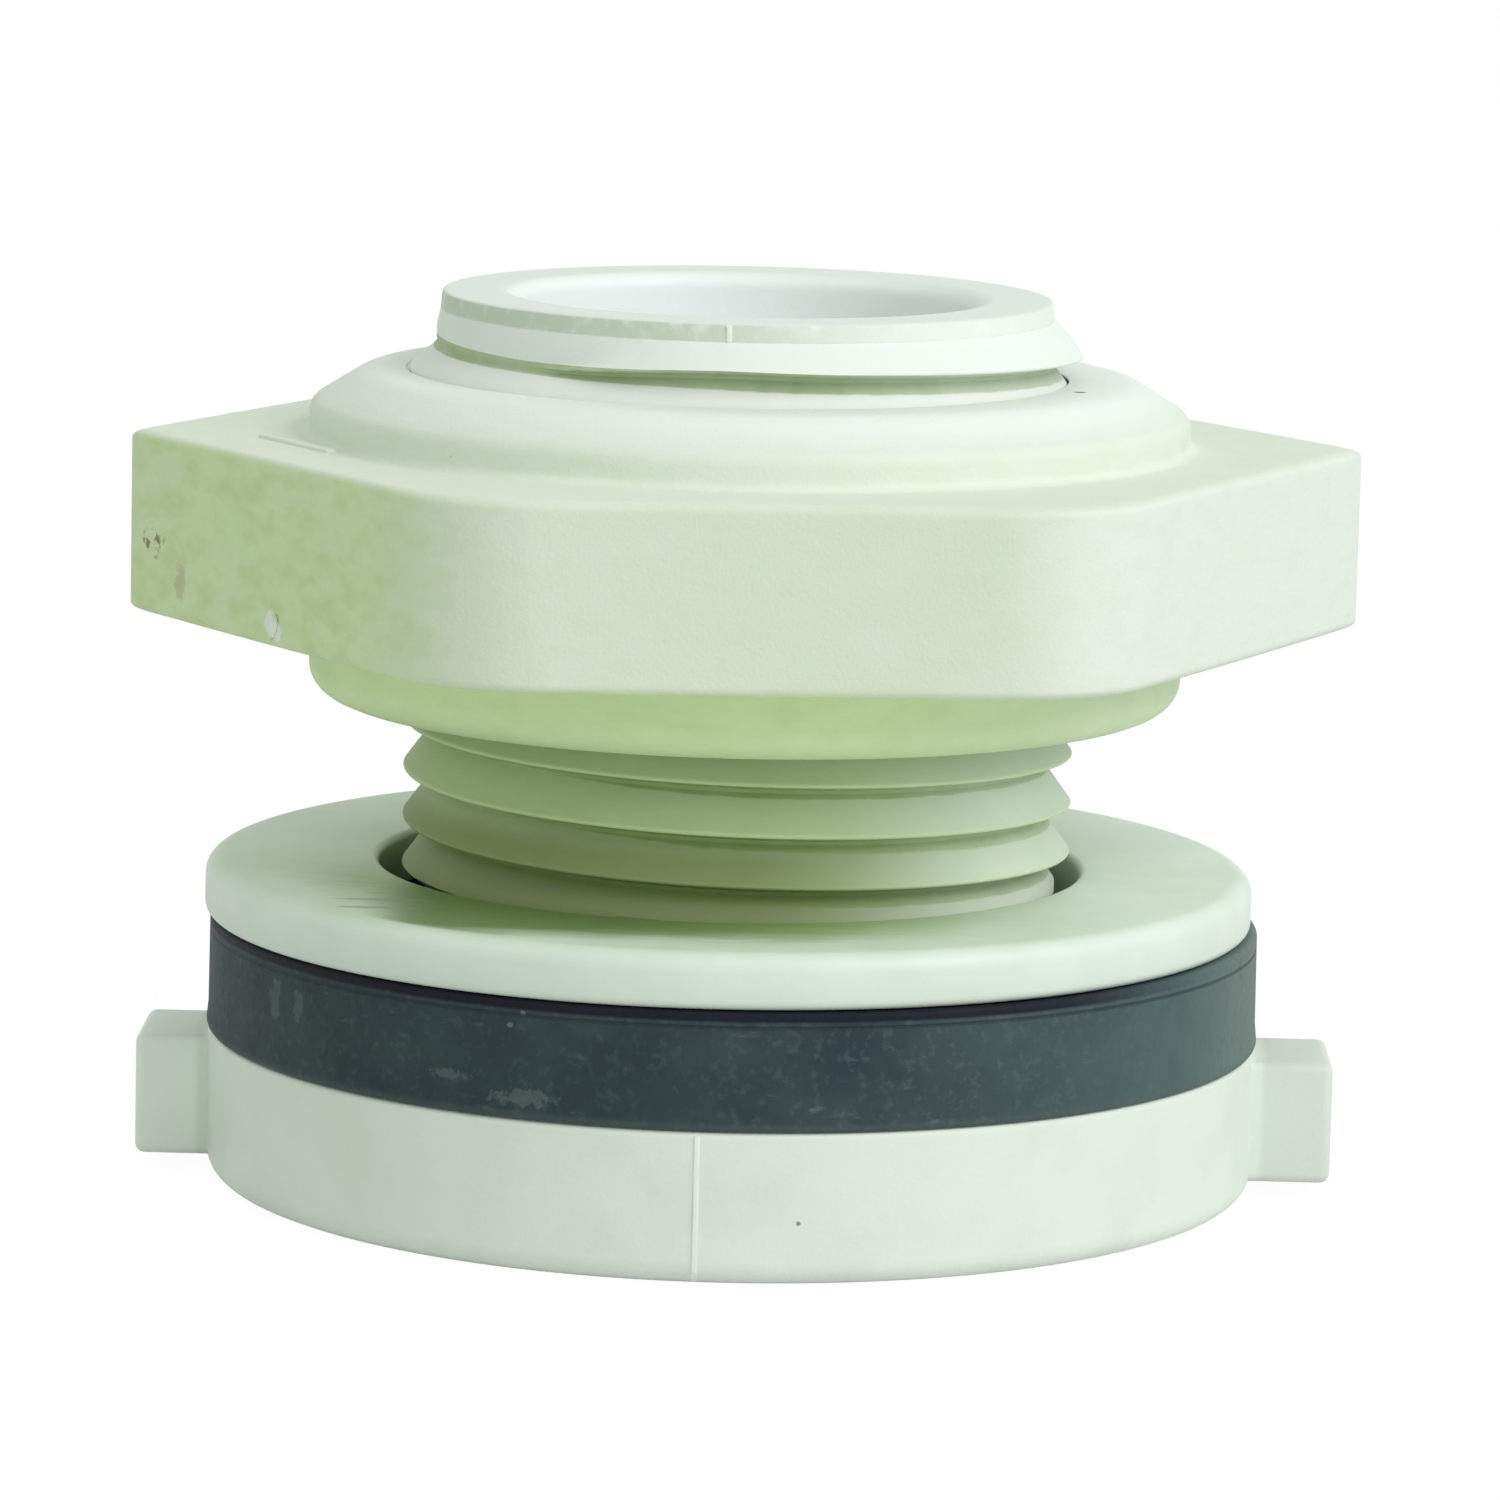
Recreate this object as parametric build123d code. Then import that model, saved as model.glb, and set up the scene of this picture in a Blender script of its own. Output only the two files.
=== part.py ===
from build123d import *
import math
import os

os.makedirs("parts", exist_ok=True)

# Sizes in mm. The fitting stands on its flange: base at z = 0, axis on +Z, wrench lugs on +X and -X.
total_height = 50.3
flange_radius = 29.8
flange_height = 8.4
flange_base_chamfer = 1.0
lug_reach = 33.7
lug_width = 7.9
lug_bottom, lug_top = 0.85, 7.8
lug_round = 0.6

# The male thread: left-hand, one start, buttress form with the steep flank facing the flange
pitch = 2.82
crest_radius = 18.95
root_radius = 17.4
steep_flank = 0.4
crest_height_at_x = 24.59
neck_radius = 17.9
end_radius = 17.2
end_length = 1.6
runout_height = 17.6

# The waterway: a pipe socket in each end and a narrower bore between them
socket_radius = 13.0
socket_depth = 16.0
waterway_radius = 10.4

# The rubber gasket
gasket_radius = flange_radius
gasket_hole_radius = 19.3
gasket_thickness = 6.5

# The loose plastic slip washer
washer_inset = 0.1
washer_radius = flange_radius - washer_inset
washer_hole_radius = 19.9
washer_thickness = 3.3
washer_chamfer = 1.3
washer_gap = 0.05

# The hex nut: two corners sharp on the mould's parting plane, four rounded
nut_flats = 60.35
nut_corner_round = 9.0
nut_angle = 4.0
nut_bottom = 27.45
hex_bottom, hex_top = 31.83, 42.1
lower_boss_radius = 24.65
lower_boss_chamfer = 1.1
upper_boss_radius = 24.8
boss_wall_top = 43.9
nut_top = 45.85
nut_top_radius = 21.7
thread_clearance = 0.25


def turned(points):
    """The solid that a closed outline of (radius, height) points makes when it is turned about the axis."""
    return revolve(make_face(Polyline([(r, 0, z) for r, z in points], close=True)), Axis.Z)


def screw(start, turns):
    """A left-hand screw of whole turns, sewn from one-turn ruled faces that meet on the crest and root helices.
    `start` is the height of the crest where it crosses +X on the lowest turn."""

    def helix(radius, height):
        path = Helix(
            pitch=pitch, height=pitch, radius=radius, center=(0, 0, height), lefthand=True
        )
        return path.edges()[0]

    def half_plane(low, high):
        # the flat wall that closes the step where a run of turns begins or ends
        ridge = [(root_radius, low), (crest_radius, low + steep_flank), (root_radius, high)]
        outline = [(0, low), *ridge, (0, high)]
        return make_face(Polyline([(r, 0, z) for r, z in outline], close=True)).faces()[0]

    faces = []
    root = start - steep_flank
    for turn in range(turns):
        crest_line = helix(crest_radius, start + turn * pitch)
        below = helix(root_radius, root + turn * pitch)
        above = helix(root_radius, root + (turn + 1) * pitch)
        faces.append(Face.make_surface_from_curves(below, crest_line))
        faces.append(Face.make_surface_from_curves(crest_line, above))
    for level in (root, root + turns * pitch):
        axis_line = Edge.make_line((0, 0, level), (0, 0, level + pitch))
        faces.append(Face.make_surface_from_curves(helix(root_radius, level), axis_line))
    faces.append(half_plane(root, root + pitch))
    faces.append(half_plane(root + turns * pitch, root + (turns + 1) * pitch))
    return Solid(Shell(faces))


# Flange with its lower edge eased, and the plain neck inside the gasket and washer
flange = turned(
    [
        (0, 0),
        (flange_radius - flange_base_chamfer, 0),
        (flange_radius, flange_base_chamfer),
        (flange_radius, flange_height),
        (neck_radius, flange_height),
        (neck_radius, runout_height),
        (0, runout_height),
    ]
)

# Two wrench lugs on the flange's rim
lugs = Box(2 * lug_reach, lug_width, lug_top - lug_bottom)
lugs = chamfer(lugs.edges().filter_by(Axis.Y), lug_round)
lugs = Pos(0, 0, (lug_bottom + lug_top) / 2) * lugs

# The threaded barrel: the screw kept between the plain neck and a lead-in cone below the plain end
shoulder = total_height - end_length
cone_radius = crest_radius + 0.4
barrel = turned(
    [
        (0, runout_height),
        (cone_radius, runout_height),
        (cone_radius, shoulder - (cone_radius - end_radius)),
        (end_radius, shoulder),
        (0, shoulder),
    ]
)
thread = screw(crest_height_at_x - 4 * pitch, 14)
plain_end = turned(
    [
        (0, shoulder),
        (end_radius, shoulder),
        (end_radius, total_height),
        (0, total_height),
    ]
)

# The waterway through the middle, wider at both ends for the pipe
waterway = turned(
    [
        (0, -1),
        (socket_radius, -1),
        (socket_radius, socket_depth),
        (waterway_radius, socket_depth),
        (waterway_radius, total_height - socket_depth),
        (socket_radius, total_height - socket_depth),
        (socket_radius, total_height + 1),
        (0, total_height + 1),
    ]
)
flanged_body = flange + lugs + (thread & barrel) + plain_end - waterway
export_step(flanged_body, "parts/flanged_body.step")

# Gasket: a plain thick rubber ring lying on the flange
gasket_top = flange_height + gasket_thickness
gasket = turned(
    [
        (gasket_hole_radius, flange_height),
        (gasket_radius, flange_height),
        (gasket_radius, gasket_top),
        (gasket_hole_radius, gasket_top),
    ]
)
export_step(gasket, "parts/gasket.step")

# Slip washer: a loose ring with its upper outside edge eased
washer_bottom = gasket_top + washer_gap
washer_top = washer_bottom + washer_thickness
slip_washer = turned(
    [
        (washer_hole_radius, washer_bottom),
        (washer_radius, washer_bottom),
        (washer_radius, washer_top - washer_chamfer),
        (washer_radius - washer_chamfer, washer_top),
        (washer_hole_radius, washer_top),
    ]
)
export_step(slip_washer, "parts/slip_washer.step")

# Hex nut: hexagon with four rounded corners, a round boss on both faces, the upper one coned
hexagon = extrude(RegularPolygon(nut_flats / 2, 6, major_radius=False), hex_top - hex_bottom)
corners = hexagon.edges().filter_by(Axis.Z).sort_by(Axis.X)
hexagon = Pos(0, 0, hex_bottom) * fillet(corners[1:-1], nut_corner_round)
bosses = turned(
    [
        (0, nut_bottom),
        (lower_boss_radius - lower_boss_chamfer, nut_bottom),
        (lower_boss_radius, nut_bottom + lower_boss_chamfer),
        (lower_boss_radius, hex_bottom + 2),
        (upper_boss_radius, hex_bottom + 2),
        (upper_boss_radius, boss_wall_top),
        (nut_top_radius, nut_top),
        (0, nut_top),
    ]
)
nut_bore = Pos(0, 0, total_height / 2) * Cylinder(
    crest_radius + thread_clearance, total_height + 10
)
hex_nut = Rot(0, 0, nut_angle) * (hexagon + bosses - nut_bore)
export_step(hex_nut, "parts/hex_nut.step")
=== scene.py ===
import math

import bmesh
import bpy
from mathutils import Matrix, Vector


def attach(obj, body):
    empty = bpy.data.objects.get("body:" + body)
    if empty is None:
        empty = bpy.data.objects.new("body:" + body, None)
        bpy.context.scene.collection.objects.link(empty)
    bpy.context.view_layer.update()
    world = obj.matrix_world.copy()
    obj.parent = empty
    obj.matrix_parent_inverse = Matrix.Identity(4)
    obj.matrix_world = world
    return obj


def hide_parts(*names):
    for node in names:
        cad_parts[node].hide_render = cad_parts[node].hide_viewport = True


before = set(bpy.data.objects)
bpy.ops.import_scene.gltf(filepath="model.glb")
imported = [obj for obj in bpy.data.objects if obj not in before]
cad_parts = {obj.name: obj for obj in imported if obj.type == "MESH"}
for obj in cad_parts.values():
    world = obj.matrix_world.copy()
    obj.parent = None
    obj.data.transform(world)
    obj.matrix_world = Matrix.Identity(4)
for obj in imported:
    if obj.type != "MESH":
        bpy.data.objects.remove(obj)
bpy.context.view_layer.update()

# Flanged body
# One white polypropylene moulding: a round flange with two wrench lugs, and a barrel with a coarse
# left-hand buttress thread outside. Each end has a pipe socket with its own fine thread, and the mould
# left a thin flash line down the front and the back.
mm = 0.001
columns = 192
total_height, flange_radius, flange_height, flange_round = 50.3, 29.8, 8.4, 1.2
lug_reach, lug_width, lug_bottom, lug_top, lug_round = 33.7, 7.9, 0.85, 7.8, 0.55
thread_pitch, crest_radius, root_radius = 2.82, 18.95, 17.4
crest_flat, long_flank, steep_flank, thread_softness = 0.24, 2.02, 0.36, 0.07
crest_height_at_x = 24.59
thread_bottom, shoulder, end_radius = 16.2, 49.25, 17.25
runout_from, runout_full = -0.03, 0.7
runout_drop, runout_start, runout_end = 0.65, 3.25, 1.25
socket_radius, socket_depth, waterway_radius = 13.0, 16.0, 10.4
pipe_pitch, pipe_ridge_radius = 1.814, 12.05
flash_angle, flash_depth, flash_width, flash_round = math.radians(-92.3), 0.16, 0.3, 0.06


class Wire:
    """A socket of a node tree. Arithmetic on it adds Math nodes, and node() adds any other node."""

    def __init__(self, tree, socket=None):
        self.tree, self.socket = tree, socket

    def node(self, kind, settings, sockets, out=0):
        made = self.tree.nodes.new(kind)
        for name, value in settings.items():
            setattr(made, name, value)
        for name, value in sockets.items():
            if isinstance(value, Wire):
                self.tree.links.new(value.socket, made.inputs[name])
            else:
                made.inputs[name].default_value = value
        return Wire(self.tree, made.outputs[out] if len(made.outputs) else None)

    def __getitem__(self, out):
        return Wire(self.tree, self.socket.node.outputs[out])

    def math(self, operation, *values):
        return self.node("ShaderNodeMath", {"operation": operation}, dict(enumerate(values)))

    def __add__(self, other):
        return self.math("ADD", self, other)

    __radd__ = __add__

    def __sub__(self, other):
        return self.math("SUBTRACT", self, other)

    def __rsub__(self, other):
        return self.math("SUBTRACT", other, self)

    def __mul__(self, other):
        return self.math("MULTIPLY", self, other)

    __rmul__ = __mul__

    def __truediv__(self, other):
        return self.math("DIVIDE", self, other)

    def __rtruediv__(self, other):
        return self.math("DIVIDE", other, self)

    def least(self, other):
        return self.math("MINIMUM", self, other)

    def most(self, other):
        return self.math("MAXIMUM", self, other)


def rising(value, low, high):
    """0 below low and 1 above high, smooth between; the other way round where low is over high."""
    first, last = min(low, high), max(low, high)
    step = value.node(
        "ShaderNodeMapRange", {"interpolation_type": "SMOOTHSTEP", "clamp": True},
        {"Value": value, "From Min": first, "From Max": last},
    )
    return step if low <= high else 1.0 - step


def screw_thread_tree():
    """A tube of screw thread: a grid rolled round the axis, each row one line of the thread's section.
    It ends in plain rings. Cones of the end slope lead to them, or a flat step where the end step is big.
    At the runout angle the last turn is sunk by the runout drop, and its crest fades out: fully where the
    cosine of the angle from there is runout_full, and not at all below runout_from."""
    faint_crest, end_row, row_nudge, weld = 0.2 * mm, 0.49999, 0.0001, 0.002 * mm
    tree = bpy.data.node_groups.new("screw thread", "GeometryNodeTree")
    plan = tree.interface
    plan.new_socket("Geometry", in_out="INPUT", socket_type="NodeSocketGeometry")
    plan.new_socket("Geometry", in_out="OUTPUT", socket_type="NodeSocketGeometry")
    for name in ("Columns", "Rows per Turn", "First Turn", "Turns"):
        plan.new_socket(name, in_out="INPUT", socket_type="NodeSocketInt")
    for name in (
        "Pitch", "Hand", "Start Angle", "Phase", "Outer Radius", "Inner Radius", "Crest Flat",
        "Long Flank", "Steep Flank", "Softness", "Low", "High", "Low Radius", "High Radius", "End Slope",
        "End Step", "Runout Angle", "Runout Drop", "Runout Fade", "Inside",
    ):
        plan.new_socket(name, in_out="INPUT", socket_type="NodeSocketFloat")
    plan.new_socket("Material", in_out="INPUT", socket_type="NodeSocketMaterial")
    inlet = tree.nodes.new("NodeGroupInput")

    def given(name):
        return Wire(tree, inlet.outputs[name])

    wire = Wire(tree)
    rows = given("Turns") * given("Rows per Turn")
    grid = wire.node(
        "GeometryNodeMeshGrid", {},
        {"Size X": 1.0, "Size Y": 1.0, "Vertices X": given("Columns") + 1.5, "Vertices Y": rows + 1.5},
    )
    position = wire.node("GeometryNodeInputPosition", {}, {})
    place = wire.node("ShaderNodeSeparateXYZ", {}, {0: position}, "X")
    angle = given("Start Angle") + (place + 0.5) * math.tau
    wound = (place["Y"] + 0.5) * given("Turns")
    turn = wire.math("FLOOR", wound + row_nudge)
    quarter = (wound - turn) * 4.0
    on_crest, on_long, on_root, on_steep = [(quarter - n).most(0.0).least(1.0) for n in range(4)]

    pitch, low, high = given("Pitch"), given("Low"), given("High")
    crest, long_side, steep_side = given("Crest Flat"), given("Long Flank"), given("Steep Flank")
    along = (
        crest * on_crest
        + long_side * on_long
        + (pitch - crest - long_side - steep_side) * on_root
        + steep_side * on_steep
    )
    climb = (given("First Turn") + turn) * pitch + along + given("Hand") * pitch * angle / math.tau
    height = (given("Phase") + climb).most(low).least(high)

    wound = (height - given("Phase")) / pitch - given("Hand") * angle / math.tau
    here = wire.math("FRACT", wound) * pitch
    off_middle = (here / crest).least(1.0) * 2.0 - 1.0
    down = ((here - crest) / long_side).most(0.0).least(1.0)
    up = ((here - pitch) / steep_side + 1.0).most(0.0)
    depth = given("Outer Radius") - given("Inner Radius") - given("Softness")
    section = given("Outer Radius") - given("Softness") * off_middle * off_middle
    section = section - depth * down + depth * up

    slope, step = given("End Slope"), given("End Step")
    low_radius, high_radius = given("Low Radius"), given("High Radius")
    below, above = (height - low) * slope + step, (high - height) * slope + step
    fading = rising(wire.math("COSINE", angle - given("Runout Angle")), runout_from, runout_full)
    faded = (high - given("Runout Fade") * fading * fading - height) * slope
    outside = section.least(low_radius + below).least(high_radius + faded.most(above.least(faint_crest)))
    inside = section.most(low_radius - below).most(high_radius - above)
    radius = outside + (inside - outside) * given("Inside")
    radius = radius + (low_radius - radius) * wire.math("LESS_THAN", place["Y"], -end_row)
    radius = radius + (high_radius - radius) * wire.math("GREATER_THAN", place["Y"], end_row)
    under_end = (high - height) / mm
    sinking = rising(under_end, runout_start, runout_end) * rising(under_end, 0.0, runout_drop)
    upright = height - given("Runout Drop") * fading * sinking
    point = wire.node(
        "ShaderNodeCombineXYZ", {},
        {"X": radius * wire.math("COSINE", angle), "Y": radius * wire.math("SINE", angle), "Z": upright},
    )
    tube = wire.node("GeometryNodeSetPosition", {}, {"Geometry": grid, "Position": point})
    tube = wire.node("GeometryNodeMergeByDistance", {}, {"Geometry": tube, "Distance": weld})
    tube = wire.node("GeometryNodeRealizeInstances", {}, {"Geometry": tube})
    tube = wire.node("GeometryNodeSetMaterial", {}, {"Geometry": tube, "Material": given("Material")})
    wire.node("NodeGroupOutput", {}, {"Geometry": tube})
    return tree


thread_tree = screw_thread_tree()


def thread_tube(material, **sizes):
    """The screw thread tree's result as a plain mesh. Sizes are in mm, counts and angles as they are."""
    carrier = bpy.data.objects.new("thread tube", bpy.data.meshes.new("thread tube"))
    bpy.context.collection.objects.link(carrier)
    modifier = carrier.modifiers.new("thread", "NODES")
    modifier.node_group = thread_tree
    plain = (
        "Columns", "Rows_per_Turn", "First_Turn", "Turns", "Hand", "Start_Angle", "End_Slope",
        "Runout_Angle", "Inside",
    )
    for item in thread_tree.interface.items_tree:
        key = item.name.replace(" ", "_")
        if item.in_out == "INPUT" and key in sizes:
            modifier[item.identifier] = sizes[key] if key in plain else sizes[key] * mm
        elif item.name == "Material":
            modifier[item.identifier] = material
    shown = carrier.evaluated_get(bpy.context.evaluated_depsgraph_get())
    mesh = bpy.data.meshes.new_from_object(shown)
    carrier.modifiers.remove(modifier)
    bpy.data.objects.remove(carrier)
    return mesh


def eased(corners):
    """An open outline of (radius, height, rounding) corners in mm, as (radius, height) points: each
    rounded corner becomes a short arc with a holding point on both sides of it."""
    hold, steps = 0.12, 6
    points = []
    for place, (r, z, size) in enumerate(corners):
        here = Vector((r, z))
        if not size:
            points.append(here)
            continue
        before = (Vector(corners[place - 1][:2]) - here).normalized()
        after = (Vector(corners[place + 1][:2]) - here).normalized()
        half = before.angle(after) / 2
        reach = size / math.tan(half)
        centre = here + (before + after).normalized() * size / math.sin(half)
        first, last = here + before * reach - centre, here + after * reach - centre
        swing = first.angle_signed(last)
        points.append(here + before * (reach + hold))
        for step in range(steps + 1):
            spoke = first.copy()
            spoke.rotate(Matrix.Rotation(-swing * step / steps, 2))
            points.append(centre + spoke)
        points.append(here + after * (reach + hold))
    return [(point.x, point.y) for point in points]


def turned(shell, outline, start=0.0, reach=None):
    """Adds to a bmesh the surface that an outline of (radius, height) points in mm makes round the axis.
    `reach` may change a point's radius with the angle."""
    rings = []
    for r, z in outline:
        ring = []
        for n in range(columns):
            angle = start + math.tau * n / columns
            out = reach(r, angle - start) if reach else r
            ring.append(shell.verts.new((out * math.cos(angle) * mm, out * math.sin(angle) * mm, z * mm)))
        rings.append(ring)
    for low, high in zip(rings, rings[1:]):
        for n in range(columns):
            m = (n + 1) % columns
            shell.faces.new((low[n], low[m], high[m], high[n]))


def rounded_block(shell, middle, sizes, rounding, turn=0.0):
    """Adds to a bmesh a block with rounded edges, sizes in mm, turned about the upright."""
    block = bmesh.new()
    place = Matrix.Translation([c * mm for c in middle]) @ Matrix.Rotation(turn, 4, "Z")
    bmesh.ops.create_cube(block, size=1, matrix=place @ Matrix.Diagonal([c * mm for c in sizes] + [1]))
    bmesh.ops.bevel(
        block, geom=block.edges[:], offset=rounding * mm, segments=4, profile=0.5, affect="EDGES",
    )
    mesh = bpy.data.meshes.new("block")
    block.to_mesh(mesh)
    block.free()
    shell.from_mesh(mesh)
    bpy.data.meshes.remove(mesh)


def closed_piece(name, shell, material, tubes=()):
    """Merges turned surfaces and thread tubes into one closed object with smooth, outward faces."""
    weld, sliver, crease = 0.004 * mm, 0.001 * mm, math.radians(33)
    for tube in tubes:
        shell.from_mesh(tube)
        bpy.data.meshes.remove(tube)
    bmesh.ops.remove_doubles(shell, verts=shell.verts, dist=weld)
    bmesh.ops.dissolve_degenerate(shell, edges=shell.edges, dist=sliver)
    bmesh.ops.recalc_face_normals(shell, faces=shell.faces)
    mesh = bpy.data.meshes.new(name)
    for face in shell.faces:
        face.smooth = True
        face.material_index = 0
    shell.to_mesh(mesh)
    shell.free()
    mesh.set_sharp_from_angle(angle=crease)
    mesh.materials.clear()
    mesh.materials.append(material)
    piece = bpy.data.objects.new(name, mesh)
    bpy.context.collection.objects.link(piece)
    return piece


def finish_tree(name):
    """A new material, its Principled shader and a wire with Object coordinates."""
    material = bpy.data.materials.new(name)
    material.use_nodes = True
    tree = material.node_tree
    shader = tree.nodes["Principled BSDF"]
    place = Wire(tree).node("ShaderNodeTexCoord", {}, {}, "Object")
    return material, shader, place


def cloudy(place, size, detail=3.0, stretch=(1.0, 1.0, 1.0)):
    """Soft noise from 0 to 1 with features of about `size` mm."""
    where = place.node("ShaderNodeMapping", {}, {"Vector": place, "Scale": stretch})
    return place.node(
        "ShaderNodeTexNoise", {"noise_dimensions": "3D"},
        {"Vector": where, "Scale": 1.0 / (size * mm), "Detail": detail, "Roughness": 0.55}, "Fac",
    )


def tinted(base, colour, mask):
    """Colour laid over base where the mask is 1."""
    under = (*base, 1.0) if isinstance(base, tuple) else base
    return mask.node("ShaderNodeMix", {"data_type": "RGBA"}, {0: mask, 6: under, 7: (*colour, 1.0)}, 2)


def spot(place, centre, sizes, ragged=0.5):
    """A ragged mark with its centre and half sizes in mm."""
    near = place.node(
        "ShaderNodeMapping", {"vector_type": "TEXTURE"},
        {"Vector": place, "Location": [c * mm for c in centre], "Scale": [c * mm for c in sizes]},
    )
    away = place.node("ShaderNodeVectorMath", {"operation": "LENGTH"}, {0: near}, "Value")
    return rising(away + (cloudy(place, min(sizes)) - 0.5) * (2.0 * ragged), 1.0, 0.6)


def dressed(material, shader, colour, roughness, height, depth):
    """Joins a finish's colour, roughness and surface height, `depth` mm deep, to its shader."""
    tree = material.node_tree
    tree.links.new(colour.socket, shader.inputs["Base Color"])
    tree.links.new(roughness.socket, shader.inputs["Roughness"])
    bump = height.node(
        "ShaderNodeBump", {}, {"Height": height, "Strength": 1.0, "Distance": depth * mm}, "Normal",
    )
    tree.links.new(bump.socket, shader.inputs["Normal"])
    shader.inputs["IOR"].default_value = 1.49


def from_axis(place):
    """Distance from the axis, height and the two plan coordinates of a place, all in mm."""
    split = place.node("ShaderNodeSeparateXYZ", {}, {0: place}, "X")
    x, y, z = split / mm, split["Y"] / mm, split["Z"] / mm
    square = x * x + y * y
    return square.math("SQRT", square), z, x, y


def body_plastic():
    """White moulded plastic, satin on the flange. On the barrel, painted shade with some dirt lies in the
    thread's roots, painted shade lies just above the washer, and a yellow-green painted shade lies below
    the nut with painted highlights on its crests, all lighter to its right as painted light; its top is
    painted whiter as light. The end is rough and greenish, painted greener on its left as shade and
    fading out to the right.
    The bore is painted whiter as light, the left lug lighter and the right lug darker."""
    clean_white, cloud_white, upper_painted_light = (0.80, 0.88, 0.81), (0.75, 0.83, 0.75), (0.86, 0.91, 0.88)
    under_nut_shade_yellow, crest_highlight, end_green = (0.54, 0.66, 0.38), (0.70, 0.82, 0.52), (0.60, 0.69, 0.56)
    foot_shade_olive, root_shade_and_dirt, speck_brown = (0.20, 0.26, 0.09), (0.28, 0.40, 0.12), (0.30, 0.30, 0.22)
    bore_painted_light, rim_white, flash_white = (0.96, 0.99, 1.0), (0.80, 0.87, 0.83), (0.92, 0.96, 0.92)
    left_lug_painted_light, right_lug_painted_shade = (0.90, 0.97, 0.91), (0.72, 0.79, 0.73)
    material, shader, place = finish_tree("white body plastic")
    radius, height, x, y = from_axis(place)
    clouds, grain, dust = cloudy(place, 6.0, 4.0), cloudy(place, 0.28, 2.0), cloudy(place, 1.7, 4.0)

    on_end = rising(height, shoulder - 0.05, shoulder + 0.1) * rising(radius, 16.4, 16.8)
    on_end = on_end * rising(height, total_height - 0.02, total_height - 0.15)
    on_barrel = rising(radius, root_radius - 0.5, root_radius - 0.25)
    on_barrel = on_barrel * rising(radius, crest_radius + 0.45, crest_radius + 0.15)
    on_lugs = rising(radius, flange_radius + 0.4, flange_radius + 0.9)
    on_flange_edge = rising(radius, flange_radius - 1.8, flange_radius - 1.3)
    in_bore = rising(radius, socket_radius + 0.6, socket_radius) * rising(height, 30.0, 34.0)
    on_rim = rising(height, total_height - 0.1, total_height - 0.02)
    on_rim = on_rim * rising(radius, socket_radius + 0.2, socket_radius + 0.8)
    across = x * -math.sin(flash_angle) + y * math.cos(flash_angle) + (cloudy(place, 2.2) - 0.5) * 0.3
    flash = rising(across.math("ABSOLUTE", across), 0.2, 0.08) * (on_flange_edge + on_end)

    # lit_right: the barrel's right side, where light falls, is kept paler as painted light
    low, lit_right = rising(height, 40.0, 28.0), rising(x, 0.0, 16.0)
    fading = rising(x / radius, -runout_from, -runout_full)
    sinking = rising(height, shoulder - runout_start, shoulder - 1.85)
    sinking = sinking * rising(height, shoulder - 0.05, shoulder - 1.05)
    lifted = height + fading * sinking * runout_drop
    wound = (lifted - crest_height_at_x) / thread_pitch + x.math("ARCTAN2", y, x) / math.tau
    along = wound.math("FRACT", wound)
    middle_turns = rising(height, 20.6, 22.0) * rising(height, 30.0, 28.5)
    edge = along - middle_turns * 0.12 - fading * 0.1 + (dust - 0.5) * 0.05
    # painted shade under each crest, with some dirt, in the thread's roots; lighter to the right
    groove = rising(edge, 0.57, 0.61) * on_barrel * rising(height, 48.5, 48.1)
    # painted shade on the barrel just above the washer, less to the right where light falls
    foot_shade = rising(height, 22.6, 20.8) * (1.0 - lit_right)
    # painted shade: the end's green is strongest on its left and fades out to the right, where light
    # falls
    green = (0.95 - rising(x, -5.0, 11.0) * 0.8) * rising(dust, 0.2, 0.5)

    colour = tinted(clean_white, cloud_white, rising(clouds, 0.35, 0.75))
    # painted light: the barrel's top, above the nut, is painted whiter
    colour = tinted(colour, upper_painted_light, rising(height, 43.0, 45.0))
    # painted shade: the barrel below the nut is tinted yellow-green as if in the nut's shade, less so to
    # the right
    colour = tinted(colour, under_nut_shade_yellow, on_barrel * low * (1.0 - lit_right * 0.8) * (0.8 + dust * 0.3))
    # painted highlight on the thread's crest edges below the nut
    colour = tinted(colour, crest_highlight, rising(along, 0.12, 0.05) * on_barrel * low * 0.6)
    colour = tinted(colour, foot_shade_olive, on_barrel * foot_shade * 0.75)
    colour = tinted(colour, root_shade_and_dirt, groove * (0.5 + dust * 0.4) * (1.0 - lit_right * 0.4))
    colour = tinted(colour, end_green, on_end * green)
    # painted light: the bore's inside, lit only through its mouth, is painted whiter
    colour = tinted(colour, bore_painted_light, in_bore)
    colour = tinted(colour, rim_white, on_rim)
    # painted light on the left lug, which the flange shades from the lamp, and painted shade on the right
    # lug
    colour = tinted(colour, left_lug_painted_light, on_lugs * rising(x, 0.0, -1.0))
    colour = tinted(colour, right_lug_painted_shade, on_lugs * rising(x, 0.0, 1.0))
    colour = tinted(colour, flash_white, flash * 0.8)
    colour = tinted(colour, speck_brown, spot(place, (4.3, -29.6, 3.5), (0.16, 0.5, 0.16)))
    roughness = 0.46 + grain * 0.14 + on_barrel * 0.12 - flash * 0.1
    relief = grain * 0.3 + clouds * 0.5 + on_end * cloudy(place, 0.9, 4.0, (1, 1, 0.4)) * 1.2
    dressed(material, shader, colour, roughness, relief + on_barrel * dust * 0.6, 0.05)
    return material


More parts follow.
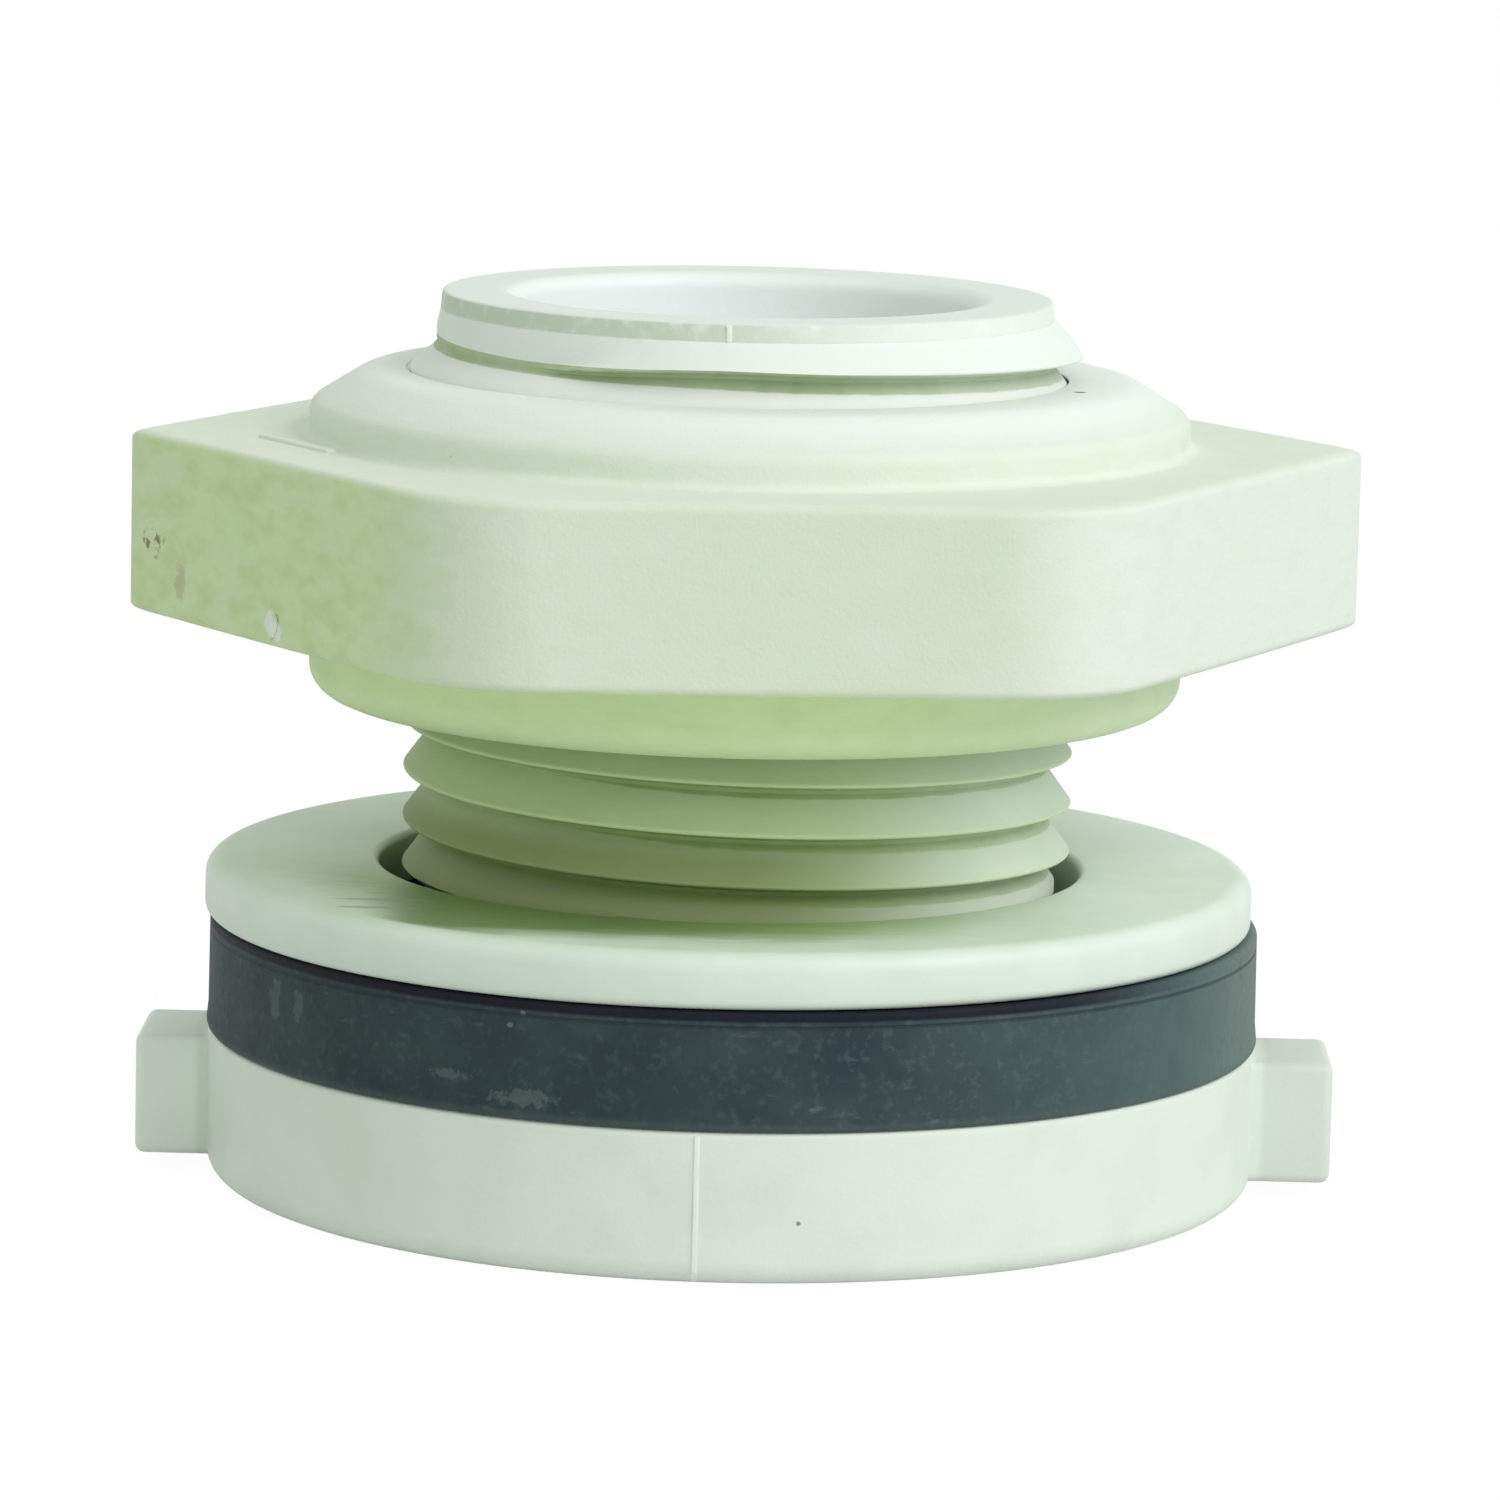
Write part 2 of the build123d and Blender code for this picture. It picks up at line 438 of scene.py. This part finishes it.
white_body = body_plastic()
shared = dict(Columns=columns, Start_Angle=0.0)
barrel_thread = thread_tube(
    white_body, **shared, Rows_per_Turn=16, First_Turn=-3, Turns=14, Pitch=thread_pitch, Hand=-1.0,
    Phase=crest_height_at_x, Outer_Radius=crest_radius, Inner_Radius=root_radius, Crest_Flat=crest_flat,
    Long_Flank=long_flank, Steep_Flank=steep_flank, Softness=thread_softness, Low=thread_bottom,
    High=shoulder, Low_Radius=root_radius, High_Radius=end_radius, End_Slope=1.1, Inside=0.0,
    Runout_Angle=math.pi, Runout_Drop=runout_drop, Runout_Fade=1.25,
)
pipe = dict(
    Rows_per_Turn=12, First_Turn=-1, Turns=10, Pitch=pipe_pitch, Hand=1.0, Outer_Radius=socket_radius,
    Inner_Radius=pipe_ridge_radius, Crest_Flat=0.25, Long_Flank=0.62, Steep_Flank=0.62, Softness=0.05,
    Low_Radius=socket_radius, High_Radius=socket_radius, End_Slope=1.0, Inside=1.0,
)
pipe_start, pipe_end = 3.0, 14.6
lower_ends, upper_ends = (pipe_start, pipe_end), (total_height - pipe_end, total_height - pipe_start)
lower_socket, upper_socket = [
    thread_tube(white_body, **shared, **pipe, Phase=phase, Low=ends[0], High=ends[1])
    for phase, ends in ((2.4, lower_ends), (35.1, upper_ends))
]

shell = bmesh.new()
turned(shell, eased([
    (socket_radius, lower_ends[0], 0), (socket_radius, 0, 0.5), (flange_radius, 0, flange_round),
    (flange_radius, flange_height, 0.35), (root_radius, flange_height, 0.4),
    (root_radius, thread_bottom, 0),
]))
turned(shell, eased([
    (end_radius, shoulder, 0), (end_radius - 0.1, total_height, 0.22), (socket_radius, total_height, 0.9),
    (socket_radius, upper_ends[1], 0),
]))
turned(shell, eased([
    (socket_radius, upper_ends[0], 0), (socket_radius, total_height - socket_depth, 0.3),
    (waterway_radius, total_height - socket_depth, 0.4), (waterway_radius, socket_depth, 0.4),
    (socket_radius, socket_depth, 0.3), (socket_radius, lower_ends[1], 0),
]))
lug_root, right_lug_extra = 3.0, 0.45
for side, reach in ((-1, lug_reach), (1, lug_reach + right_lug_extra)):
    long = reach - flange_radius + lug_root
    middle = (side * (reach - long / 2), 0, (lug_bottom + lug_top) / 2)
    rounded_block(shell, middle, (long, lug_width, lug_top - lug_bottom), lug_round)
flange_flash = (flange_radius, flange_round * 0.6, flange_height - 0.2)
rim_flash = (end_radius - 0.05, shoulder, total_height - 0.15)
for angle in (flash_angle, flash_angle + math.pi):
    for radius, low, high in (flange_flash, rim_flash):
        middle = (radius * math.cos(angle), radius * math.sin(angle), (low + high) / 2)
        rounded_block(shell, middle, (flash_depth, flash_width, high - low), flash_round, angle)
body_piece = closed_piece(
    "flanged_body_skin", shell, white_body, (barrel_thread, lower_socket, upper_socket),
)
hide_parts("flanged_body")
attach(body_piece, "body")

# Gasket
# A thick ring of dark slate rubber, cut from sheet, that lies on the flange. Handling has left pale
# chalky scuffs on its edge, and a fine cut line runs round it just below the top.
gasket_radius, gasket_hole, gasket_top, gasket_lip = 29.8, 19.3, 14.9, 0.12
ring_seam = 24.0


def scuffed_rubber():
    """Matte slate rubber, painted lighter and greyer at its right as light, with chalky scuffs and a
    painted shadow band under the top edge, where the washer overhangs.
    """
    slate, cloud_slate = (0.026, 0.044, 0.052), (0.040, 0.065, 0.072)
    speckle_slate, right_painted_light_slate = (0.085, 0.135, 0.135), (0.093, 0.153, 0.153)
    right_end_painted_light_grey = (0.16, 0.22, 0.20)
    chalk_grey, lip_grey = (0.17, 0.21, 0.21), (0.09, 0.12, 0.12)
    cut_black, washer_shadow_black = (0.02, 0.03, 0.034), (0.004, 0.005, 0.012)
    material, shader, place = finish_tree("slate rubber")
    radius, height, x, _ = from_axis(place)
    clouds, grain = cloudy(place, 4.0, 5.0), cloudy(place, 0.35, 3.0)
    smears = cloudy(place, 2.2, 5.0, (1.0, 1.0, 3.2))

    # the speckle grows stronger towards the right, adding to the painted light there
    speckle = rising(cloudy(place, 0.6, 3.0), 0.50, 0.72) * (0.25 + rising(x, -5.0, 15.0) * 0.25)
    dust = rising(smears, 0.60, 0.80) * rising(cloudy(place, 11.0), 0.45, 0.62)
    for centre, sizes in (
        ((-24.8, -16.5, 12.5), (0.8, 0.8, 1.1)), ((-23.3, -18.5, 12.6), (0.6, 0.6, 1.0)),
        ((-14.6, -26.0, 10.4), (1.5, 1.0, 0.3)), ((-10.6, -27.9, 9.6), (2.4, 1.0, 0.55)),
    ):
        dust = dust.most(spot(place, centre, sizes, 1.3) * 0.5)
    for centre in ((-11.35, -27.6, 13.5), (-10.65, -27.85, 14.2)):
        dust = dust.most(spot(place, centre, (0.18, 0.5, 0.18)))
    cut = height - (gasket_top - 0.85)
    line = rising(cut.math("ABSOLUTE", cut), 0.14, 0.03)
    # painted shadow under the washer's overhang, along the gasket's top edge, fading out at the right
    band = rising(height, gasket_top - 0.62, gasket_top - 0.42) * rising(x, 28.0, 17.0)
    lip = rising(height, flange_height + 0.6, flange_height + 0.2) * rising(radius, 29.2, 29.5)

    colour = tinted(slate, cloud_slate, rising(clouds, 0.3, 0.75))
    # painted light: the right side and right end, which face the lamp, are painted lighter
    colour = tinted(colour, right_painted_light_slate, rising(x, 6.0, 29.5) * (0.5 + clouds * 0.5))
    colour = tinted(colour, right_end_painted_light_grey, rising(x, 24.0, 29.6) * 0.7)
    colour = tinted(colour, speckle_slate, speckle)
    colour = tinted(colour, chalk_grey, dust * 0.7)
    colour = tinted(colour, cut_black, line * 0.6)
    colour = tinted(colour, washer_shadow_black, band * 0.95)
    colour = tinted(colour, lip_grey, lip * 0.4)
    roughness = 0.56 + grain * 0.16 + dust * 0.2
    relief = grain * 0.6 + clouds * 0.5 - line * 1.2
    dressed(material, shader, colour, roughness, relief, 0.06)
    shader.inputs["Specular IOR Level"].default_value = 0.2
    return material


shell = bmesh.new()
turned(shell, eased([
    (ring_seam, flange_height, 0), (gasket_radius + gasket_lip, flange_height, 0.25),
    (gasket_radius, flange_height + 1.2, 0), (gasket_radius - 0.05, gasket_top, 0.3),
    (gasket_hole, gasket_top, 0.3), (gasket_hole, flange_height, 0.3), (ring_seam, flange_height, 0),
]))
gasket_piece = closed_piece("gasket_ring", shell, scuffed_rubber())
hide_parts("gasket")
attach(gasket_piece, "body")

# Slip washer
# A loose ring of the same white plastic, turned smooth, with its upper edge rounded. It lets the nut turn
# without dragging the rubber, so it carries faint scratches that run round it. It lies a little to
# the left of the barrel's axis.
washer_radius, washer_hole, washer_bottom, washer_top, washer_shift = 29.7, 19.9, 14.95, 18.0, -0.35


def satin_washer_plastic():
    """Smooth white plastic with worn rings. Green dirt and painted shade lie over its top round the
    barrel, with a painted shadow of the nut, and its outer edge is painted darker low down as shade.
    """
    clean_white, cloud_white = (0.785, 0.875, 0.81), (0.73, 0.83, 0.745)
    worn_grey, low_edge_shade_grey, scratch_grey = (0.66, 0.74, 0.65), (0.68, 0.77, 0.70), (0.30, 0.36, 0.22)
    dirt_and_shade_green, nut_shadow_green = (0.31, 0.44, 0.15), (0.17, 0.26, 0.10)
    material, shader, place = finish_tree("satin washer plastic")
    radius, height, x, y = from_axis(place)
    clouds, grain = cloudy(place, 5.0, 3.0), cloudy(place, 0.22, 2.0)
    section = place.node("ShaderNodeCombineXYZ", {}, {"X": radius * mm, "Y": height * mm * 0.4})
    worn = cloudy(section, 0.3, 2.0) * rising(cloudy(place, 9.0), 0.4, 0.7)

    # painted shade on the lower part of the outer edge
    low_edge = rising(height, 16.9, 15.3) * rising(radius, 28.9, 29.4)
    # green dirt together with painted shade round the barrel, on the front of the top
    spread = rising(radius + (cloudy(place, 3.0, 4.0, (1.0, 3.0, 1.0)) - 0.5) * 4.0, 27.8, 21.0)
    spread = spread * rising(y, -2.0, -12.0) * rising(x, 21.0, 2.0)
    # painted shadow cast by the nut on the washer's top, with some dirt
    smudge = y + (cloudy(place, 2.5, 4.0, (0.5, 2.0, 1.0)) - 0.5) * 3.0
    nut_shadow = rising(smudge, -26.3, -22.8) * rising(y, -9.0, -13.0) * rising(radius, 29.0, 28.2)
    nut_shadow = nut_shadow * rising(x, -20.5, -17.0) * rising(x, 10.0, -7.0)

    colour = tinted(clean_white, cloud_white, rising(clouds, 0.3, 0.75))
    colour = tinted(colour, worn_grey, rising(worn, 0.5, 0.75) * 0.35)
    colour = tinted(colour, low_edge_shade_grey, low_edge * 0.6)
    colour = tinted(colour, dirt_and_shade_green, spread * 0.95)
    colour = tinted(colour, nut_shadow_green, nut_shadow * 0.92)
    for centre in ((-18.9, -15.8, washer_top), (-19.0, -18.3, washer_top)):
        colour = tinted(colour, scratch_grey, spot(place, centre, (3.0, 0.5, 1.0), 0.4) * 0.6)
    roughness = 0.40 + grain * 0.12 + worn * 0.12
    relief = grain * 0.25 + worn * 0.45 + clouds * 0.4
    dressed(material, shader, colour, roughness, relief, 0.035)
    return material


shell = bmesh.new()
turned(shell, eased([
    (ring_seam, washer_bottom, 0), (washer_radius, washer_bottom, 0.5), (washer_radius, washer_top, 1.0),
    (washer_hole, washer_top, 0.4), (washer_hole, washer_bottom, 0.3), (ring_seam, washer_bottom, 0),
]))
bmesh.ops.translate(shell, verts=shell.verts, vec=(washer_shift * mm, 0, 0))
washer_piece = closed_piece("slip_washer_ring", shell, satin_washer_plastic())
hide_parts("slip_washer")
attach(washer_piece, "washer")

# Hex nut
# A white plastic hexagon moulded with a round boss on both faces, the upper one coned down to the thread.
# Two corners lie on the mould's parting plane and are sharp, the other four are well rounded. Its chalky
# faces are mottled, painted yellow-green as shade on the left side and underneath and whiter as light on
# the top and right, and at the left it has a moulded bar, a burr and brown specks.
nut_flats, nut_angle = 60.35, math.radians(4.0)
nut_bottom, hex_bottom, hex_top, boss_top, nut_top = 27.45, 31.83, 42.1, 43.9, 45.85
lower_boss, upper_boss, crown_radius, mouth_radius = 24.65, 24.8, 21.7, 19.3
nut_clearance, nut_shift = 0.22, 0.28
round_corner, sharp_corner = 9.0, 0.8
bar_middle, bar_sizes, bar_round = (-24.6, -8.5, hex_top), (8.0, 0.7, 0.4), 0.16
bar_turn = math.radians(-57)
burr_middle, burr_sizes = (-25.25, -16.3, 33.0), (0.22, 0.42, 0.8)
burr_turn, burr_lean = math.radians(34), math.radians(28)


def hexagon_reach(angle):
    """The hexagon's radius at an angle from one of its sharp corners."""
    corner = round(angle / (math.pi / 3))
    off = abs(angle - corner * math.pi / 3)
    size = sharp_corner if corner % 3 == 0 else round_corner
    apothem, tilt = nut_flats / 2, math.pi / 6
    centre = (apothem - size) / math.cos(tilt)
    if off < math.atan2(size * math.sin(tilt), centre + size * math.cos(tilt)):
        return centre * math.cos(off) + math.sqrt(size * size - (centre * math.sin(off)) ** 2)
    return apothem / math.cos(tilt - off)


def nut_reach(radius, angle):
    """Outside the bosses a radius is spread out to the hexagon's side."""
    if radius <= upper_boss:
        return radius
    share = (radius - upper_boss) / (nut_flats / 2 - upper_boss)
    return upper_boss + share * (hexagon_reach(angle) - upper_boss)


def chalky_nut_plastic():
    """Chalky white plastic, painted yellow-green as shade on its left side and underneath and whiter as
    light on its top, crown and right, with painted shade in the thread and at a gap in the mouth, brown
    specks at the left corner and a white burr in the lower edge."""
    clean_white, cloud_white, right_painted_light = (0.74, 0.82, 0.70), (0.69, 0.80, 0.62), (0.79, 0.85, 0.79)
    top_painted_light, crown_painted_light, burr_white = (0.79, 0.86, 0.765), (0.88, 0.92, 0.90), (0.90, 0.95, 0.92)
    left_shade_green, underside_shade_green, mottle_green = (0.68, 0.84, 0.48), (0.78, 0.94, 0.55), (0.56, 0.68, 0.30)
    thread_shade_green, speck_brown, stain_brown = (0.40, 0.50, 0.24), (0.20, 0.16, 0.09), (0.46, 0.44, 0.27)
    mouth_gap_shadow_black = (0.10, 0.12, 0.05)
    material, shader, place = finish_tree("chalky nut plastic")
    radius, height, x, _ = from_axis(place)
    clouds, grain = cloudy(place, 7.0, 4.0), cloudy(place, 0.22, 2.0)
    fine = cloudy(place, 1.3, 4.0, (0.5, 0.5, 1.0))

    on_hex = rising(height, hex_top - 0.05, hex_top - 0.35) * rising(height, 31.4, 31.9)
    on_top = rising(height, hex_top - 0.2, hex_top + 0.1)
    under, crown = rising(height, 32.2, 31.6), rising(height, 43.6, 45.5)
    wavering = x + (clouds - 0.5) * 8.0
    # painted shade: the left hex faces are tinted yellow-green; the mottle is stronger there and
    # underneath
    left_shade = rising(wavering, -13.0, -21.0) * on_hex
    mottle = rising(fine, 0.36, 0.74) * (1.0 - crown) * (0.1 + left_shade * 0.45 + under * 0.1)
    in_thread = rising(radius, 19.5, 19.0) * rising(height, nut_top - 0.1, nut_top - 0.8)
    specks = spot(place, (-33.0, -5.0, 36.0), (1.3, 1.6, 1.0))
    specks = specks * rising(cloudy(place, 0.55, 2.0), 0.50, 0.60)
    for centre in ((-26.9, -14.1, 34.1), (-24.0, -18.4, 35.0), (-32.1, -6.3, 41.9), (-15.6, -19.3, 42.9)):
        specks = specks.most(spot(place, centre, (0.24, 0.24, 0.15)) * 0.6)
    stain = spot(place, (-31.3, -7.6, 34.2), (0.7, 0.8, 1.5), 0.8)
    # painted shadow of a small gap where the thread meets the nut's cone
    mouth_gap_shadow = spot(place, (18.6, -6.3, nut_top), (0.4, 0.4, 0.5))
    burr = spot(place, (-25.6, -16.05, 33.2), (0.8, 0.8, 0.8), 0.6)
    burr = burr.most(spot(place, (-25.1, -16.65, 32.7), (0.8, 0.8, 0.8), 0.6))

    colour = tinted(clean_white, cloud_white, rising(clouds, 0.32, 0.72) * 0.7)
    # painted light: the right hex face, the top and the crown are painted whiter than the other faces
    colour = tinted(colour, right_painted_light, rising(wavering, 14.0, 20.0) * on_hex)
    colour = tinted(colour, top_painted_light, on_top)
    colour = tinted(colour, crown_painted_light, crown)
    colour = tinted(colour, left_shade_green, left_shade * (0.45 + clouds * 0.6))
    # painted shade: the nut's underside is tinted yellow-green, less so to the right
    colour = tinted(colour, underside_shade_green, under * (0.9 - rising(x, 4.0, 24.0) * 0.5))
    colour = tinted(colour, mottle_green, mottle)
    # painted shade inside the nut's thread near its mouth
    colour = tinted(colour, thread_shade_green, in_thread)
    colour = tinted(colour, speck_brown, specks * 0.85)
    colour = tinted(colour, stain_brown, stain * 0.55)
    colour = tinted(colour, mouth_gap_shadow_black, mouth_gap_shadow * 0.9)
    colour = tinted(colour, burr_white, burr * 0.8)
    roughness = 0.55 + grain * 0.2
    relief = grain * 0.4 + fine * 0.5 + clouds * 0.5 - burr
    dressed(material, shader, colour, roughness, relief, 0.06)
    return material


chalky_nut = chalky_nut_plastic()
nut_thread = thread_tube(
    chalky_nut, Columns=columns, Start_Angle=nut_angle, Rows_per_Turn=20, First_Turn=-1, Turns=11,
    Pitch=thread_pitch, Hand=-1.0, Phase=crest_height_at_x, Outer_Radius=crest_radius + nut_clearance,
    Inner_Radius=root_radius + nut_clearance, Crest_Flat=crest_flat, Long_Flank=long_flank,
    Steep_Flank=steep_flank, Softness=thread_softness, Low=nut_bottom, High=nut_top,
    Low_Radius=mouth_radius, High_Radius=mouth_radius, End_Step=3.0, Inside=1.0,
)
shell = bmesh.new()
turned(shell, eased([
    (mouth_radius, nut_bottom, 0),
    (lower_boss, nut_bottom, 1.7), (lower_boss, hex_bottom, 0.6), (nut_flats / 2, hex_bottom, 0.5),
    (nut_flats / 2, hex_top, 0.5), (upper_boss, hex_top, 0.5), (upper_boss, boss_top, 0.9),
    (crown_radius, nut_top, 2.4), (mouth_radius, nut_top, 0),
]), nut_angle, nut_reach)
for corner in shell.verts:
    if corner.co.xy.length > (mouth_radius + 0.1) * mm:
        corner.co.x += nut_shift * mm
rounded_block(shell, bar_middle, bar_sizes, bar_round, bar_turn)
burr_place = (
    Matrix.Translation([c * mm for c in burr_middle])
    @ Matrix.Rotation(burr_turn, 4, "Z")
    @ Matrix.Rotation(burr_lean, 4, "X")
    @ Matrix.Diagonal((*burr_sizes, 1))
)
bmesh.ops.create_icosphere(shell, subdivisions=3, radius=mm, matrix=burr_place)
nut_piece = closed_piece("hex_nut_skin", shell, chalky_nut, (nut_thread,))
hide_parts("hex_nut")
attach(nut_piece, "nut")

# Studio
# A wide pale table that runs back to a white background, one large soft lamp from the right front and
# even light all round. The camera stands a little above the nut with a long lens.
light_aim, lamp_side, lamp_distance = Vector((0, 0, 0.03)), Vector((0.335, -0.28, 0.32)), 0.6
camera_place, camera_degrees = (0.00699, -0.41494, 0.08962), (0.869, 81.059, 1.321)


def seen_straight(wire):
    """1 on the rays that show the background itself: from the camera, off gloss or through glass."""
    ray = wire.node("ShaderNodeLightPath", {}, {}, "Is Camera Ray")
    return ray.most(ray["Is Glossy Ray"]).most(ray["Is Transmission Ray"])


table = bpy.data.objects.new("table", bpy.data.meshes.new("table"))
bpy.context.collection.objects.link(table)
slab = bmesh.new()
bmesh.ops.create_grid(slab, x_segments=1, y_segments=1, size=6.0)
slab.to_mesh(table.data)
slab.free()
pale = bpy.data.materials.new("pale table")
pale.use_nodes = True
wire = Wire(pale.node_tree)
pale.node_tree.nodes.remove(pale.node_tree.nodes["Principled BSDF"])
cloth = wire.node("ShaderNodeBsdfDiffuse", {}, {"Color": (0.78, 0.79, 0.77, 1.0)})
glow = wire.node("ShaderNodeEmission", {}, {"Color": (1.0, 1.0, 1.0, 1.0), "Strength": 1.04})
lit = wire.node("ShaderNodeMixShader", {}, {0: seen_straight(wire) * 0.92, 1: cloth, 2: glow})
pale.node_tree.links.new(lit.socket, pale.node_tree.nodes["Material Output"].inputs["Surface"])
table.data.materials.append(pale)

world = bpy.data.worlds.new("studio light")
world.use_nodes = True
bpy.context.scene.world = world
wire = Wire(world.node_tree)
seen = seen_straight(wire)
background = world.node_tree.nodes["Background"]
sky, strength = tinted((0.93, 1.0, 0.90), (1.0, 1.0, 1.0), seen), 0.62 + 0.38 * seen
world.node_tree.links.new(sky.socket, background.inputs["Color"])
world.node_tree.links.new(strength.socket, background.inputs["Strength"])

lamp = bpy.data.objects.new("soft lamp", bpy.data.lights.new("soft lamp", "AREA"))
lamp.data.shape = "DISK"
lamp.data.size = 0.42
lamp.data.energy = 1.70
lamp.data.color = (1.0, 0.96, 1.0)
lamp.location = lamp_side.normalized() * lamp_distance + light_aim
lamp.rotation_euler = (lamp.location - light_aim).to_track_quat("Z", "Y").to_euler()
bpy.context.collection.objects.link(lamp)

camera = bpy.data.objects.new("camera", bpy.data.cameras.new("camera"))
camera.data.lens, camera.data.sensor_width = 177.6, 36.0
camera.data.clip_start, camera.data.clip_end = 0.01, 20.0
pan, pitch, roll = [math.radians(degrees) for degrees in camera_degrees]
aim = Matrix.Rotation(pan, 4, "Z") @ Matrix.Rotation(pitch, 4, "X") @ Matrix.Rotation(roll, 4, "Z")
camera.matrix_world = Matrix.Translation(camera_place) @ aim
bpy.context.collection.objects.link(camera)
bpy.context.scene.camera = camera
bpy.context.scene.view_settings.view_transform = "Standard"
